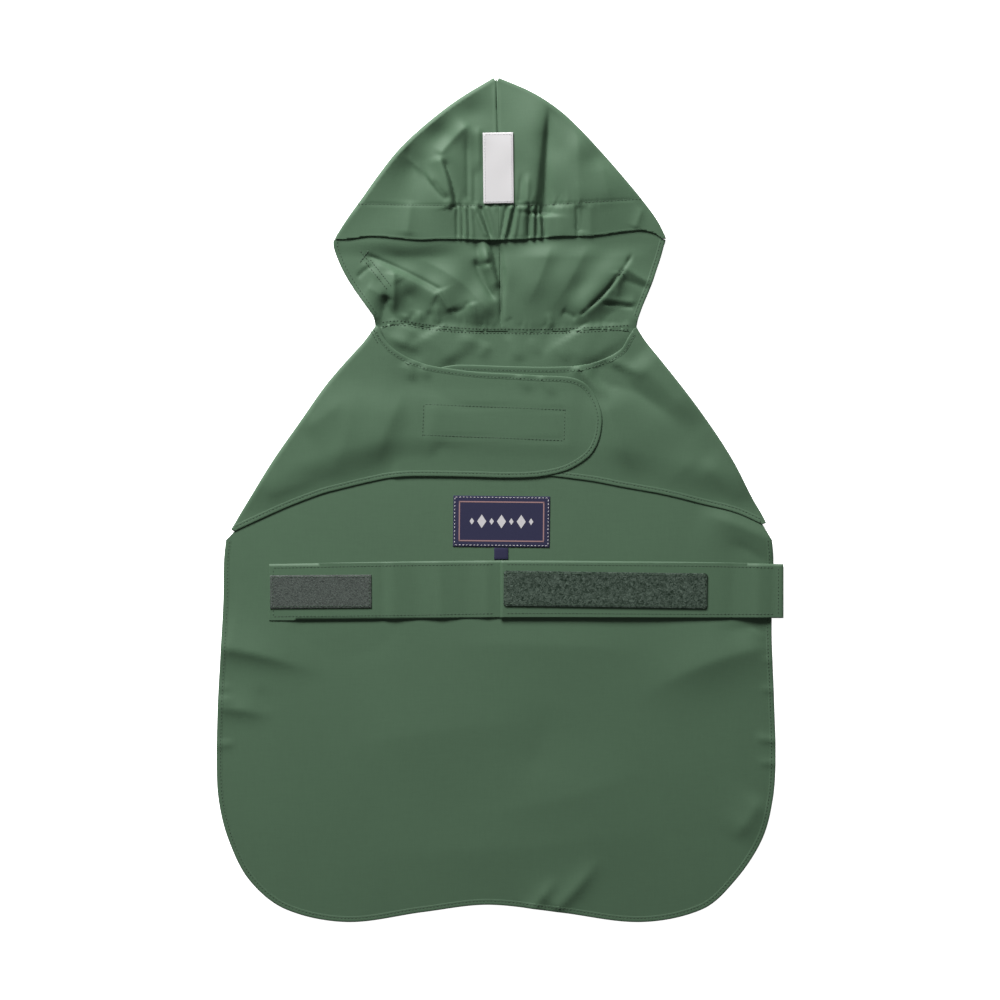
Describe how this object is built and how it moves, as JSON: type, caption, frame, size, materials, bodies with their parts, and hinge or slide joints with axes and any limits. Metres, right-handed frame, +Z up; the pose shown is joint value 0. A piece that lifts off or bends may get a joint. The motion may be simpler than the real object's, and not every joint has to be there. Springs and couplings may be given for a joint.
{
  "type": "hooded dog coat",
  "caption": "Hooded dog coat of green cloth laid flat on its back, with overlapping chest flaps, a gathered hood, a belly strap with hook and loop tape, and a reflective strip.",
  "frame": {"origin": "middle of the laid-out coat, on the surface that it lies on", "axes": "+Y along the coat from the hem to the hood's crown, +Z up from the surface, +X across the coat towards the strap's folded end"},
  "size_m": [0.425, 0.633, 0.0127],
  "materials": {
    "coat_cloth": "smooth coated plain weave with a faint sheen",
    "strap_cloth": "smooth coated plain weave with a faint sheen",
    "hook_tape": "nylon hooks, rough",
    "loop_tape": "brushed nylon loops",
    "reflective": "retroreflective grey film on cloth",
    "label_navy": "woven satin"
  },
  "bodies": {
    "root": {"coat_body": "coat_cloth", "hood_left": "coat_cloth", "hood_right": "coat_cloth", "belly_strap": "strap_cloth", "strap_hook_tape": "hook_tape", "strap_loop_tape": "loop_tape", "chest_hook_tape": "hook_tape", "chest_loop_tape": "loop_tape", "reflective_strip": "reflective", "woven_label": "label_navy", "size_tab": "label_navy"}
  },
  "joints": []
}
